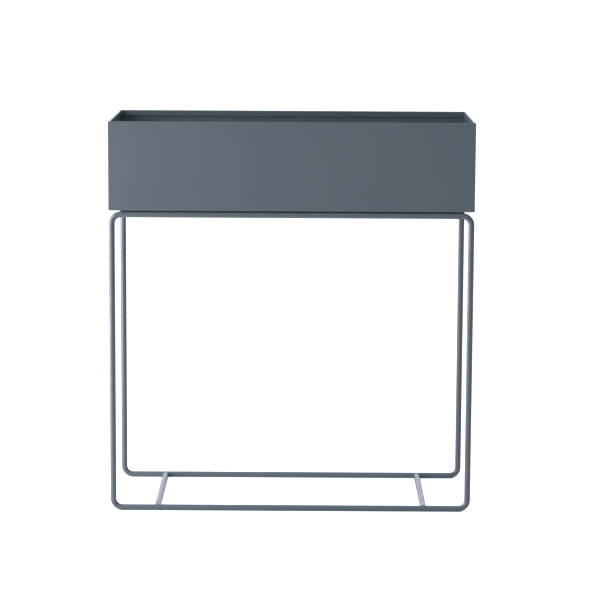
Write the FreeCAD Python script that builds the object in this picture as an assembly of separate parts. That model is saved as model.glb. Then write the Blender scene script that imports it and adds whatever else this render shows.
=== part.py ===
"""Raised planter: a folded sheet-steel box, screwed to a stand of bent steel rod.

Millimetres, +Z up, +X along the length, and the front faces -Y.
The origin lies on the ground, under the middle of the planter.
Every piece is a separate solid, written to parts/NAME.step.
"""
import FreeCAD, Part
import math
import os

from FreeCAD import Vector

# ---------------------------------------------------------------- driving dimensions
# Overall
overall_length = 600.0
overall_depth = 250.0
overall_height = 650.0
box_height = 146.5

# Box: one sheet folded to a trough, closed by two end panels
sheet_thickness = 1.5
fold_inner_radius = 1.0
hem_height = 10.0
seam_leg = 2.0

# Stand: two closed loops of round rod, joined at the ground by two cross rods
rod_diameter = 10.0
loop_bend_radius = 15.0
loop_weld_width = 2.0
cross_rod_inset = 78.0

# Weld beads
weld_root_gap = 0.3
weld_leg = 2.5
weld_ground_clearance = 0.4

# Flat bars under the box, between the two top rods
support_bar_inset = 78.0
support_bar_width = 25.0
support_bar_thickness = 4.0

# Rubber cushion strips between the top rods and the box
strip_thickness = 1.5
strip_width = 6.0
strip_side_clearance = 0.5

# Button head screws, rubber sealing washers and flange nuts
screw_spacing = 150.0
screw_diameter = 5.0
screw_length = 16.0
screw_tip_chamfer = 0.5
head_diameter = 9.5
head_height = 2.75
head_rim_height = 0.5
socket_width = 3.0
socket_depth = 1.6
screw_hole_clearance = 0.25
washer_diameter = 15.0
washer_thickness = 1.5
washer_hole_clearance = 0.15
nut_width = 8.0
nut_height = 4.7
nut_flange_diameter = 11.8
nut_flange_thickness = 1.2
thread_clearance = 0.05

# ---------------------------------------------------------------- places worked out from them
half_length = overall_length / 2
half_depth = overall_depth / 2
box_bottom = overall_height - box_height
floor_top = box_bottom + sheet_thickness
hem_bottom = overall_height - hem_height
hem_thickness = 2 * sheet_thickness
fold_outer_radius = fold_inner_radius + sheet_thickness

rod_radius = rod_diameter / 2
loop_height = box_bottom - strip_thickness
loop_y = half_depth - rod_radius
side_rod_x = half_length - rod_radius
top_rod_z = loop_height - rod_radius
straight_half_length = side_rod_x - loop_bend_radius
cross_rod_x = half_length - cross_rod_inset

support_bar_x = half_length - support_bar_inset
support_bar_bottom = box_bottom - support_bar_thickness
bar_above_rod_centre = max(0.0, support_bar_bottom - top_rod_z)
rod_half_width_at_bar = math.sqrt(rod_radius ** 2 - bar_above_rod_centre ** 2)
support_bar_end = loop_y - rod_half_width_at_bar - weld_root_gap

SIDES = (-1, 1)
X_AXIS = Vector(1, 0, 0)
Y_AXIS = Vector(0, 1, 0)
Z_AXIS = Vector(0, 0, 1)
SHORTEST_EDGE = 1e-6


# ---------------------------------------------------------------- shape helpers
def in_yz(x):
    """Return a function that puts plane point (u, v) at y = u, z = v, on the plane of this x."""
    return lambda u, v: Vector(x, u, v)


def in_xz(y):
    """Return a function that puts plane point (u, v) at x = u, z = v, on the plane of this y."""
    return lambda u, v: Vector(u, y, v)


def in_xy(z):
    """Return a function that puts plane point (u, v) at x = u, y = v, on the plane of this z."""
    return lambda u, v: Vector(u, v, z)


def corner_arc(before, corner, after, radius):
    """Return the start, middle and end of the tangent arc that rounds a corner."""
    back = (before - corner).normalize()
    ahead = (after - corner).normalize()
    half_angle = back.getAngle(ahead) / 2
    setback = radius / math.tan(half_angle)
    bisector = (back + ahead).normalize()
    middle = corner + bisector * (radius / math.sin(half_angle) - radius)
    return corner + back * setback, middle, corner + ahead * setback


def rounded_wire(corners, place):
    """Return a closed wire through (u, v, radius) corners, each with its own tangent arc."""
    points = [place(u, v) for u, v, radius in corners]
    arcs = []
    for index, (u, v, radius) in enumerate(corners):
        following = points[(index + 1) % len(points)]
        arcs.append(corner_arc(points[index - 1], points[index], following, radius))
    edges = []
    for index, (start, middle, end) in enumerate(arcs):
        if start.distanceToPoint(end) > SHORTEST_EDGE:
            edges.append(Part.Arc(start, middle, end).toShape())
        next_start = arcs[(index + 1) % len(arcs)][0]
        if end.distanceToPoint(next_start) > SHORTEST_EDGE:
            edges.append(Part.LineSegment(end, next_start).toShape())
    return Part.Wire(Part.__sortEdges__(edges))


def prism(corners, place, length):
    """Extrude a closed outline by the vector length."""
    return Part.Face(rounded_wire(corners, place)).extrude(length)


def block(low, high):
    """Return the box between two opposite corners."""
    size = Vector(*high) - Vector(*low)
    return Part.makeBox(size.x, size.y, size.z, Vector(*low))


def turned(outline, place, centre, axis):
    """Revolve a closed outline of (u, v) points once about an axis."""
    corners = [(u, v, 0.0) for u, v in outline]
    return Part.Face(rounded_wire(corners, place)).revolve(centre, axis, 360)


def hexagon(width, x, y, z, height):
    """Return a hexagonal prism of this width across its flats, standing on z."""
    corner_radius = width / math.sqrt(3)
    corners = []
    for step in range(6):
        angle = math.radians(60 * step)
        corners.append((x + corner_radius * math.cos(angle), y + corner_radius * math.sin(angle), 0.0))
    return prism(corners, in_xy(z), Z_AXIS * height)


# ---------------------------------------------------------------- box
def screw_places():
    """Yield the x and y of each screw that holds the box to the stand."""
    for x_side in SIDES:
        for y_side in SIDES:
            yield x_side * support_bar_x, y_side * screw_spacing / 2


def screw_holes(low, high):
    """Return the clearance holes for the screws, from height low to high."""
    radius = screw_diameter / 2 + screw_hole_clearance
    holes = [Part.makeCylinder(radius, high - low, Vector(x, y, low)) for x, y in screw_places()]
    return Part.makeCompound(holes)


def hem_corner_zone(side):
    """Return the space round an end's hem, cut at 45 degrees where it meets the long hems."""
    reach = 2 * hem_thickness
    outer = side * half_length
    inner = side * (half_length - reach)
    corners = [
        (outer, -half_depth, 0.0),
        (outer, half_depth, 0.0),
        (inner, half_depth - reach, 0.0),
        (inner, -half_depth + reach, 0.0),
    ]
    return prism(corners, in_xy(hem_bottom), Z_AXIS * hem_height)


def box_trough():
    """Front wall, floor and rear wall: one folded sheet with its upper edges hemmed inwards."""
    t = sheet_thickness
    inner_y = half_depth - t
    hem_y = half_depth - hem_thickness
    section = [
        (-half_depth, overall_height, t),
        (-hem_y, overall_height, t),
        (-hem_y, hem_bottom, 0.0),
        (-inner_y, hem_bottom, 0.0),
        (-inner_y, floor_top, fold_inner_radius),
        (inner_y, floor_top, fold_inner_radius),
        (inner_y, hem_bottom, 0.0),
        (hem_y, hem_bottom, 0.0),
        (hem_y, overall_height, t),
        (half_depth, overall_height, t),
        (half_depth, box_bottom, fold_outer_radius),
        (-half_depth, box_bottom, fold_outer_radius),
    ]
    trough = prism(section, in_yz(-half_length), X_AXIS * overall_length)
    for side in SIDES:
        trough = trough.cut(hem_corner_zone(side))
    return trough.cut(screw_holes(box_bottom - 1, floor_top + 1))


def box_end(side):
    """End panel: it stands on the floor between the long walls, hemmed along its upper edge."""
    t = sheet_thickness
    outer = side * half_length
    inner = side * (half_length - t)
    hem_inner = side * (half_length - hem_thickness)
    section = [
        (outer, floor_top, 0.0),
        (outer, overall_height, t),
        (hem_inner, overall_height, t),
        (hem_inner, hem_bottom, 0.0),
        (inner, hem_bottom, 0.0),
        (inner, floor_top, 0.0),
    ]
    panel = prism(section, in_xz(-half_depth), Y_AXIS * overall_depth)
    inner_y = half_depth - t
    between_walls = [
        (-inner_y, floor_top, fold_inner_radius),
        (inner_y, floor_top, fold_inner_radius),
        (inner_y, hem_bottom, 0.0),
        (-inner_y, hem_bottom, 0.0),
    ]
    start = min(outer, hem_inner)
    lower = prism(between_walls, in_yz(start), X_AXIS * hem_thickness)
    return panel.common(lower.fuse(hem_corner_zone(side)))


def box_seam(side, trough):
    """Weld bead inside the box, up both corners and along the floor of one end panel."""
    inner_x = side * (half_length - sheet_thickness)
    toe_x = side * (half_length - sheet_thickness - seam_leg)
    inner_y = half_depth - sheet_thickness
    low = (min(inner_x, toe_x), -inner_y, floor_top)
    high = (max(inner_x, toe_x), inner_y, hem_bottom)
    above = hem_bottom + 1
    rings = []
    for x, inset in ((inner_x, seam_leg), (toe_x, 0.0)):
        y = inner_y - inset
        z = floor_top + inset
        rings.append(rounded_wire([(-y, z, 0), (y, z, 0), (y, above, 0), (-y, above, 0)], in_yz(x)))
    hollow = Part.makeLoft(rings, True, True)
    return block(low, high).cut(hollow).cut(trough)


# ---------------------------------------------------------------- stand
def rod_ring(side):
    """Closed rectangle of round rod with four bends, before it is parted for its butt weld."""
    y = side * loop_y
    bends = []
    for x_side in SIDES:
        for z, z_side in ((rod_radius, -1), (top_rod_z, 1)):
            centre = Vector(x_side * straight_half_length, y, z - z_side * loop_bend_radius)
            bends.append(rod_bend(centre, x_side, z_side))
    straights = []
    for z in (rod_radius, top_rod_z):
        straights.append(rod(Vector(-straight_half_length, y, z), X_AXIS, 2 * straight_half_length))
    bend_low = rod_radius + loop_bend_radius
    bend_high = top_rod_z - loop_bend_radius
    for x_side in SIDES:
        straights.append(rod(Vector(x_side * side_rod_x, y, bend_low), Z_AXIS, bend_high - bend_low))
    ring = straights[0].multiFuse(straights[1:] + bends)
    return ring.removeSplitter()


def rod(start, direction, length):
    """Straight length of the round rod."""
    return Part.makeCylinder(rod_radius, length, start, direction)


def rod_bend(centre, x_side, z_side):
    """Quarter turn of the round rod about centre, from its level side to its upright side."""
    section_centre = centre + Z_AXIS * z_side * loop_bend_radius
    section = Part.Face(Part.Wire(Part.makeCircle(rod_radius, section_centre, X_AXIS)))
    return section.revolve(centre, Y_AXIS, 90 * x_side * z_side)


def loop_weld_zone(side):
    """Return the slice of the top rod, halfway along it, that the butt weld fills."""
    half = loop_weld_width / 2
    y = side * loop_y
    low = (-half, y - rod_diameter, top_rod_z - rod_diameter)
    high = (half, y + rod_diameter, top_rod_z + rod_diameter)
    return block(low, high)


def cross_rod(side):
    """Level rod between the two loops, at the height of their bottom rods."""
    end_y = loop_y - rod_radius - weld_root_gap
    return rod(Vector(side * cross_rod_x, -end_y, rod_radius), Y_AXIS, 2 * end_y)


def cross_rod_welds(side, loops, piece):
    """Ring welds at both ends of a cross rod, kept clear of the ground."""
    x = side * cross_rod_x
    tangent_y = loop_y - rod_radius
    toe_y = tangent_y - weld_leg
    outline = [
        (x, toe_y),
        (x + rod_radius, toe_y),
        (x + rod_radius + weld_leg, tangent_y),
        (x + rod_radius + weld_leg, loop_y),
        (x, loop_y),
    ]
    bead = turned(outline, in_xy(rod_radius), Vector(x, 0, rod_radius), Y_AXIS)
    reach = rod_radius + 2 * weld_leg
    level = block(
        (x - reach, 0, weld_ground_clearance),
        (x + reach, half_depth, rod_diameter - weld_ground_clearance),
    )
    rear = bead.common(level)
    front = rear.mirror(Vector(0, 0, 0), Y_AXIS)
    return [weld.cut(loop).cut(piece) for weld, loop in zip((front, rear), loops)]


def support_bar(side):
    """Flat bar across the stand, level with the underside of the box, which is screwed to it."""
    x = side * support_bar_x
    half_width = support_bar_width / 2
    low = (x - half_width, -support_bar_end, support_bar_bottom)
    high = (x + half_width, support_bar_end, box_bottom)
    return block(low, high).cut(screw_holes(support_bar_bottom - 1, box_bottom + 1))


def support_bar_welds(side, loops):
    """Weld beads under and behind both ends of a support bar, against the top rods."""
    beside_strip = loop_y - strip_width / 2 - strip_side_clearance
    section = [
        (support_bar_end, loop_height, 0.0),
        (beside_strip, loop_height, 0.0),
        (beside_strip, top_rod_z, 0.0),
        (support_bar_end, support_bar_bottom - weld_leg, 0.0),
        (support_bar_end - weld_leg, support_bar_bottom, 0.0),
        (support_bar_end, support_bar_bottom, 0.0),
    ]
    start = side * support_bar_x - support_bar_width / 2
    rear = prism(section, in_yz(start), X_AXIS * support_bar_width)
    front = rear.mirror(Vector(0, 0, 0), Y_AXIS)
    return [weld.cut(loop) for weld, loop in zip((front, rear), loops)]


def cushion_strip(side):
    """Rubber strip along the straight crown of a top rod, flat on top, hollowed to the rod below."""
    y = side * loop_y
    low = (-straight_half_length, y - strip_width / 2, top_rod_z)
    high = (straight_half_length, y + strip_width / 2, box_bottom)
    under = rod(Vector(-half_length, y, top_rod_z), X_AXIS, overall_length)
    return block(low, high).cut(under)


# ---------------------------------------------------------------- fasteners
def box_screw(x, y):
    """Button head screw with a hexagon socket, its head down on the sealing washer."""
    seat = floor_top + washer_thickness
    crown = seat + head_height
    rim = seat + head_rim_height
    dome_half = head_diameter / 2
    dome_rise = crown - rim
    dome_radius = (dome_half ** 2 + dome_rise ** 2) / (2 * dome_rise)
    head = Part.makeCylinder(dome_half, head_height, Vector(x, y, seat))
    dome = Part.makeSphere(dome_radius, Vector(x, y, crown - dome_radius))
    socket = hexagon(socket_width, x, y, crown - socket_depth, head_height)
    radius = screw_diameter / 2
    tip = seat - screw_length
    shank = Part.makeCylinder(radius, screw_length, Vector(x, y, tip))
    tip_cone = Part.makeCone(
        radius - screw_tip_chamfer,
        radius - screw_tip_chamfer + screw_length,
        screw_length,
        Vector(x, y, tip),
    )
    return head.common(dome).cut(socket).fuse(shank.common(tip_cone)).removeSplitter()


def sealing_washer(x, y):
    """Flat rubber washer between the screw's head and the box floor."""
    disc = Part.makeCylinder(washer_diameter / 2, washer_thickness, Vector(x, y, floor_top))
    hole_radius = screw_diameter / 2 + washer_hole_clearance
    hole = Part.makeCylinder(hole_radius, washer_thickness, Vector(x, y, floor_top))
    return disc.cut(hole)


def flange_nut(x, y):
    """Hexagon nut with a round flange, drawn up against the support bar."""
    bottom = support_bar_bottom - nut_height
    flange_bottom = support_bar_bottom - nut_flange_thickness
    body = hexagon(nut_width, x, y, bottom, nut_height)
    flange = Part.makeCylinder(nut_flange_diameter / 2, nut_flange_thickness, Vector(x, y, flange_bottom))
    bore = Part.makeCylinder(screw_diameter / 2 + thread_clearance, nut_height, Vector(x, y, bottom))
    return body.fuse(flange).cut(bore).removeSplitter()


# ---------------------------------------------------------------- assembly
def box_nodes():
    """Return the sheet-metal pieces of the box and its inner seams."""
    trough = box_trough()
    nodes = {"box_trough": trough}
    for name, side in (("left", -1), ("right", 1)):
        nodes[f"box_{name}_end"] = box_end(side)
        nodes[f"box_{name}_seam"] = box_seam(side, trough)
    return nodes


def stand_nodes():
    """Return the rods, bars, welds and cushion strips of the stand."""
    nodes = {}
    loops = []
    for name, side in (("front", -1), ("rear", 1)):
        ring = rod_ring(side)
        zone = loop_weld_zone(side)
        loops.append(ring.cut(zone))
        nodes[f"{name}_loop"] = loops[-1]
        nodes[f"{name}_loop_weld"] = ring.common(zone)
        nodes[f"{name}_cushion_strip"] = cushion_strip(side)
    for name, side in (("left", -1), ("right", 1)):
        piece = cross_rod(side)
        nodes[f"{name}_cross_rod"] = piece
        nodes[f"{name}_cross_rod_welds"] = Part.makeCompound(cross_rod_welds(side, loops, piece))
        nodes[f"{name}_support_bar"] = support_bar(side)
        nodes[f"{name}_support_bar_welds"] = Part.makeCompound(support_bar_welds(side, loops))
    return nodes


def fastener_nodes():
    """Return each kind of fastener as one group of separate solids."""
    makers = {"box_screws": box_screw, "sealing_washers": sealing_washer, "flange_nuts": flange_nut}
    nodes = {}
    for name, maker in makers.items():
        nodes[name] = Part.makeCompound([maker(x, y) for x, y in screw_places()])
    return nodes


def main():
    """Build every node and write it out."""
    os.makedirs("parts", exist_ok=True)
    nodes = {**box_nodes(), **stand_nodes(), **fastener_nodes()}
    for name, shape in nodes.items():
        if not shape.Solids or not all(solid.isValid() and solid.isClosed() for solid in shape.Solids):
            raise ValueError(f"{name} is not made of closed solids")
        shape.exportStep(f"parts/{name}.step")
        print(f"{name}: {len(shape.Solids)} solid(s), {shape.Volume:.1f} mm3")


main()
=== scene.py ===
"""Raised planter: the finished look of a powder-coated planter box on its rod stand.

Laid out as an add-on with one operator for each kind of piece, and run as a script.
Lengths are in metres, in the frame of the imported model: +Z up, the front faces -Y.
"""
import math

import bmesh
import bpy
from bpy.props import FloatProperty, FloatVectorProperty, IntProperty, PointerProperty
from mathutils import Matrix, Vector


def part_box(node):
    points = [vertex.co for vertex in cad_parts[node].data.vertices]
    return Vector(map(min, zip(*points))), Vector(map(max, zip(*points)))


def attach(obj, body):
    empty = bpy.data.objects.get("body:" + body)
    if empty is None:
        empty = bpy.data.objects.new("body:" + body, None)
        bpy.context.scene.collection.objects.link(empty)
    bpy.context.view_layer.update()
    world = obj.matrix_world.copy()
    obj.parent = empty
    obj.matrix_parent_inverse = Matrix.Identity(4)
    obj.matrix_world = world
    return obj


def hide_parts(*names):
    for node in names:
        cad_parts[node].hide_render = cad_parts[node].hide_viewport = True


bl_info = {
    "name": "Raised Planter",
    "version": (1, 0, 0),
    "blender": (4, 5, 0),
    "location": "3D View > Sidebar > Planter",
    "description": "Builds a powder-coated planter box on a bent rod stand",
    "category": "Add Mesh",
}

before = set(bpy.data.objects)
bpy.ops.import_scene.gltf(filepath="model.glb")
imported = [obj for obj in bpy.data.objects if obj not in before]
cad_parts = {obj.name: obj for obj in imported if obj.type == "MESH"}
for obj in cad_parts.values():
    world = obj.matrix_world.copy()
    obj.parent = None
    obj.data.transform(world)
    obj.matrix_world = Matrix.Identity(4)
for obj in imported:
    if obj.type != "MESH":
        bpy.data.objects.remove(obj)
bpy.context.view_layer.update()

MM = 0.001
BODY = "root"
SIDES = (-1, 1)
LEFT_RIGHT = (("left", -1), ("right", 1))
FRONT_REAR = (("front", -1), ("rear", 1))
X_AXIS = Vector((1, 0, 0))
Y_AXIS = Vector((0, 1, 0))
Z_AXIS = Vector((0, 0, 1))
MERGE_DISTANCE = 0.002 * MM
CUTTER_MARGIN = 5 * MM
SHARP_ANGLE = math.radians(35)
CHAMFER_ANGLE = math.radians(30)
RIPPLE_LEAN = 0.7
BEAD_END_SHARE = 0.2

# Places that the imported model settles
TROUGH_LOW, TROUGH_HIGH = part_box("box_trough")
END_LOW, END_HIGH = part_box("box_right_end")
LOOP_LOW, LOOP_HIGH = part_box("rear_loop")
CROSS_LOW, CROSS_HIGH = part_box("right_cross_rod")
BAR_LOW, BAR_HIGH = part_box("right_support_bar")
STRIP_LOW, STRIP_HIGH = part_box("rear_cushion_strip")
SCREW_LOW, SCREW_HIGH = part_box("box_screws")
WASHER_LOW, WASHER_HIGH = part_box("sealing_washers")
NUT_LOW, NUT_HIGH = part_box("flange_nuts")

HALF_LENGTH = TROUGH_HIGH.x
HALF_DEPTH = TROUGH_HIGH.y
BOX_TOP = TROUGH_HIGH.z
BOX_BOTTOM = TROUGH_LOW.z
FLOOR_TOP = END_LOW.z
SHEET = FLOOR_TOP - BOX_BOTTOM
HEM_THICKNESS = END_HIGH.x - END_LOW.x
HEM_REACH = 2 * HEM_THICKNESS
ROD_RADIUS = (LOOP_HIGH.y - LOOP_LOW.y) / 2
LOOP_Y = LOOP_HIGH.y - ROD_RADIUS
LOOP_TOP = LOOP_HIGH.z
TOP_ROD_Z = LOOP_TOP - ROD_RADIUS
SIDE_ROD_X = LOOP_HIGH.x - ROD_RADIUS
LOOP_WELD_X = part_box("rear_loop_weld")[1].x
CROSS_X = (CROSS_LOW.x + CROSS_HIGH.x) / 2
BAR_X = (BAR_LOW.x + BAR_HIGH.x) / 2
WASHER_RADIUS = WASHER_HIGH.x - BAR_X
SCREW_Y = WASHER_HIGH.y - WASHER_RADIUS


# ---------------------------------------------------------------- settings
def number(name, description, default, **options):
    """A setting that is a plain number."""
    return FloatProperty(name=name, description=description, default=default, **options)


def length(name, description, millimetres):
    """A length setting, given in millimetres and kept in metres."""
    return number(
        name, description, millimetres * MM, min=0.0, precision=5, subtype="DISTANCE", unit="LENGTH"
    )


def angle(name, description, radians):
    """An angle setting."""
    return number(name, description, radians, subtype="ANGLE")


def facets(name, description, default, least):
    """A setting that counts facets."""
    return IntProperty(name=name, description=description, default=default, min=least)


def colour(name, description, rgb):
    """A linear colour setting."""
    return FloatVectorProperty(
        name=name, description=description, default=rgb, size=3, min=0.0, max=1.0, subtype="COLOR"
    )


class PlanterSheetSettings(bpy.types.PropertyGroup):
    """Sizes of the folded sheet metal."""

    hem_height: length("Hem height", "Height of the folded-over edge round the rim", 10.0)
    hem_slit: length("Hem slit", "Gap left between the hem and the wall it is folded against", 0.12)
    slit_depth: length("Slit depth", "How far up the gap behind the hem stays open", 6.0)
    fold_inner_radius: length("Fold radius", "Inner radius of the folds along the floor", 1.0)
    edge_radius: length("Edge radius", "Rounding that the coat gives a cut edge", 0.35)
    hole_radius: length("Hole radius", "Radius of the screw holes in the floor and bars", 2.75)
    fold_segments: facets("Fold segments", "Facets across a fold", 8, 2)


class PlanterRodSettings(bpy.types.PropertyGroup):
    """Sizes of the round rod, bars and strips."""

    bend_radius: length("Bend radius", "Radius of the loops' bends at the rod's centre line", 15.0)
    ring_segments: facets("Ring segments", "Facets round a rod", 48, 12)
    bend_steps: facets("Bend steps", "Facets along a bend", 20, 4)
    bar_edge_radius: length("Bar edge radius", "Rounding of the flat bars' edges", 0.5)
    strip_edge_radius: length("Strip edge radius", "Rounding of the rubber strips' edges", 0.25)


class PlanterWeldSettings(bpy.types.PropertyGroup):
    """Sizes of the weld beads."""

    bead_radius: length("Bead radius", "Radius of a weld bead's rounded surface", 1.6)
    bead_inset: length("Bead inset", "Distance of a bead's centre line from the faces it joins", 0.6)
    ripple_pitch: length("Ripple pitch", "Distance from one weld ripple to the next", 1.3)
    ripple_height: number("Ripple height", "Share of the radius that ripples stand up", 0.09, min=0.0)
    stations_per_ripple: facets("Stations per ripple", "Rings that shape one ripple", 4, 2)
    bead_sides: facets("Bead sides", "Facets round a bead", 14, 6)


class PlanterFastenerSettings(bpy.types.PropertyGroup):
    """Sizes of the screws, washers and nuts."""

    screw_radius: length("Screw radius", "Radius of the screw's plain shank", 2.5)
    head_radius: length("Head radius", "Radius of the screw's button head", 4.75)
    head_rim: length("Head rim", "Height of the head's upright rim", 0.5)
    socket_width: length("Socket width", "Width across the flats of the hexagon socket", 3.0)
    socket_depth: length("Socket depth", "Depth of the hexagon socket", 1.6)
    thread_pitch: length("Thread pitch", "Distance from one thread turn to the next", 0.8)
    nut_width: length("Nut width", "Width across the flats of the nut", 8.0)
    nut_flange: length("Nut flange", "Thickness of the nut's flange", 1.2)
    turned_segments: facets("Turned segments", "Facets round a turned piece, a multiple of six", 48, 12)


class PlanterFinishSettings(bpy.types.PropertyGroup):
    """Colours of the finishes."""

    coat: colour("Coat", "Dusty blue-grey powder coat", (0.098, 0.137, 0.168))
    coat_light: colour("Light coat", "Lighter tone of the coat's clouds and speckle", (0.150, 0.190, 0.220))
    # The washers are real rubber; on the cushion strips this blue-black also stands in as painted shade for
    # the contact shadow between box and rods.
    rubber: colour("Rubber", "Blue-black rubber", (0.014, 0.020, 0.025))
    steel: colour("Steel", "Stainless steel", (0.52, 0.53, 0.54))


class PlanterStageSettings(bpy.types.PropertyGroup):
    """The camera, lights and floor."""

    focal_length: number("Focal length", "Focal length in millimetres", 138.98, min=1.0, unit="CAMERA")
    camera_x: length("Camera side", "How far the camera stands to the right", 20.64)
    camera_distance: length("Camera distance", "How far the camera stands in front of the middle", 3890.05)
    camera_height: length("Camera height", "Height of the camera above the ground", 953.85)
    camera_pitch: angle("Camera pitch", "How far the camera looks down", 0.1442)
    camera_yaw: angle("Camera yaw", "How far the camera turns left", 0.0017)
    camera_roll: angle("Camera roll", "How far the camera leans", 0.0051)
    camera_rise: number("Camera rise", "Lens shift, as a share of the view", -0.05)
    key_power: number("Key power", "Power of the tall soft light on the left", 32.0, min=0.0, unit="POWER")
    key_tint: colour("Key tint", "Tint of the tall soft light", (1.0, 0.83, 0.79))
    ceiling_level: number("Ceiling level", "Brightness of the room overhead", 1.02, min=0.0)
    ceiling_tint: colour("Ceiling tint", "Tint of the light from overhead", (0.90, 0.95, 1.0))
    backdrop_level: number("Backdrop level", "Brightness behind the planter", 2.9, min=0.0)
    left_level: number("Left level", "Brightness of the wall on the left", 0.7, min=0.0)
    wall_tint: colour("Wall tint", "Tint of the light from the walls", (0.86, 0.86, 1.0))
    floor_glow: number("Floor glow", "Light that the floor adds for the camera", 0.75, min=0.0)
    floor_colour: colour("Floor colour", "Pale floor", (0.88, 0.88, 0.88))


# ---------------------------------------------------------------- mesh helpers
def add_block(bm, low, high):
    """Add a closed block between two corners."""
    low = Vector(low)
    high = Vector(high)
    place = Matrix.Translation((low + high) / 2) @ Matrix.Diagonal((*(high - low), 1))
    bmesh.ops.create_cube(bm, size=1, matrix=place)


def round_off(bm, geom, radius, segments, affect, clamp_overlap=False):
    """Round edges or corners with an arc, and return what the bevel made."""
    return bmesh.ops.bevel(
        bm,
        geom=geom,
        offset=radius,
        offset_type="OFFSET",
        segments=segments,
        profile=0.5,
        affect=affect,
        material=-1,
        clamp_overlap=clamp_overlap,
    )


def bevel_edges(bm, edges, radius):
    """Round the given edges with three facets."""
    round_off(bm, edges, radius, 3, "EDGES", clamp_overlap=True)


def add_section(bm, corners, segments):
    """Add a flat face through (point, rounding) corners, and round each corner that has a radius."""
    verts = [bm.verts.new(point) for point, rounding in corners]
    face = bm.faces.new(verts)
    for radius in sorted({rounding for point, rounding in corners if rounding > 0}):
        chosen = [vert for vert, (point, rounding) in zip(verts, corners) if rounding == radius]
        done = round_off(bm, chosen, radius, segments, "VERTICES")
        if not face.is_valid:
            face = next(f for f in bm.faces if all(v in f.verts for v in done["verts"]))
    return face


def extrude_section(bm, corners, travel, segments):
    """Add a closed bar with the given section, pulled along the vector travel."""
    face = add_section(bm, corners, segments)
    made = bmesh.ops.extrude_face_region(bm, geom=[face], use_keep_orig=True)
    verts = [item for item in made["geom"] if isinstance(item, bmesh.types.BMVert)]
    bmesh.ops.translate(bm, verts=verts, vec=travel)
    bmesh.ops.recalc_face_normals(bm, faces=bm.faces)


def spin_section(bm, corners, centre, steps, segments):
    """Turn a half section of (radius, height, rounding) corners about the upright line at centre."""
    points = [(Vector((centre.x + r, centre.y, z)), rounding) for r, z, rounding in corners]
    face = add_section(bm, points, segments)
    outline = list(face.edges)
    bmesh.ops.delete(bm, geom=[face], context="FACES_ONLY")
    on_axis = [e for e in outline if all(abs(v.co.x - centre.x) < MERGE_DISTANCE for v in e.verts)]
    bmesh.ops.delete(bm, geom=on_axis, context="EDGES")
    outline = [edge for edge in outline if edge.is_valid]
    verts = {vert for edge in outline for vert in edge.verts}
    bmesh.ops.spin(
        bm,
        geom=[*outline, *verts],
        cent=centre,
        axis=Z_AXIS,
        angle=math.tau,
        steps=steps,
        use_merge=True,
    )


def hexagon_radius(width, turn):
    """Distance from the middle of a hexagon to its side, in the direction turn."""
    sixth = math.tau / 6
    return width / 2 / math.cos((turn % sixth) - sixth / 2)


def on_radius(verts, centre, radius):
    """The vertices at one distance from the upright line through centre."""
    return [vert for vert in verts if abs((vert.co - centre).xy.length - radius) < MERGE_DISTANCE]


def press_hexagon(verts, centre, width, chamfer_from=None, chamfer_end=None):
    """Move a ring of vertices out or in to a hexagon, with the cone cut that a turned chamfer leaves."""
    for vert in verts:
        offset = (vert.co - centre).xy
        radius = hexagon_radius(width, math.atan2(offset.y, offset.x))
        offset = offset.normalized() * radius
        vert.co.x = centre.x + offset.x
        vert.co.y = centre.y + offset.y
        if chamfer_from is not None:
            vert.co.z = chamfer_end + (radius - chamfer_from) * math.tan(CHAMFER_ANGLE)


def add_part(bm, part):
    """Move everything in the bmesh part into bm."""
    mesh = bpy.data.meshes.new("temporary")
    part.to_mesh(mesh)
    part.free()
    bm.from_mesh(mesh)
    bpy.data.meshes.remove(mesh)


def tube_through(bm, stations, normal, sides, closed=False):
    """Roll a grid into a round tube through (centre, heading, radius) stations, and close or cap it."""

    def placement(station):
        centre, heading, radius = station
        across = (normal - heading * normal.dot(heading)).normalized()
        up = heading.cross(across)
        turn = Matrix((across, up, heading)).transposed().to_4x4()
        return Matrix.Translation(centre) @ turn @ Matrix.Scale(radius, 4)

    steps = len(stations) - 1
    places = [placement(station) for station in stations]
    tube = bmesh.new()
    bmesh.ops.create_grid(tube, x_segments=steps, y_segments=sides, size=0.5)
    for vert in tube.verts:
        along = round((vert.co.x + 0.5) * steps)
        turn = math.tau * (vert.co.y + 0.5)
        vert.co = places[along] @ Vector((math.cos(turn), math.sin(turn), 0))
    bmesh.ops.remove_doubles(tube, verts=tube.verts, dist=MERGE_DISTANCE)
    if not closed:
        bmesh.ops.edgeloop_fill(tube, edges=[edge for edge in tube.edges if edge.is_boundary])
    add_part(bm, tube)


def ripple(travelled, pitch):
    """Height of a weld ripple, from 0 to 1: each steps up sharply and falls away."""
    phase = (travelled / pitch) % 1.0
    return math.sin(math.pi * phase ** RIPPLE_LEAN)


def straight_bead(bm, start, end, normal, weld):
    """Add a rippled weld bead between two points, its ends tapered."""
    travel = end - start
    heading = travel.normalized()
    steps = max(4, round(travel.length / weld.ripple_pitch * weld.stations_per_ripple))
    taper = weld.bead_radius
    stations = []
    for step in range(steps + 1):
        travelled = travel.length * step / steps
        to_end = max(0.0, min(travelled, travel.length - travelled))
        fullness = max(BEAD_END_SHARE, math.sqrt(1 - max(0.0, 1 - to_end / taper) ** 2))
        swell = 1 + weld.ripple_height * ripple(travelled, weld.ripple_pitch)
        stations.append((start + heading * travelled, heading, weld.bead_radius * fullness * swell))
    tube_through(bm, stations, normal, weld.bead_sides)


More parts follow.
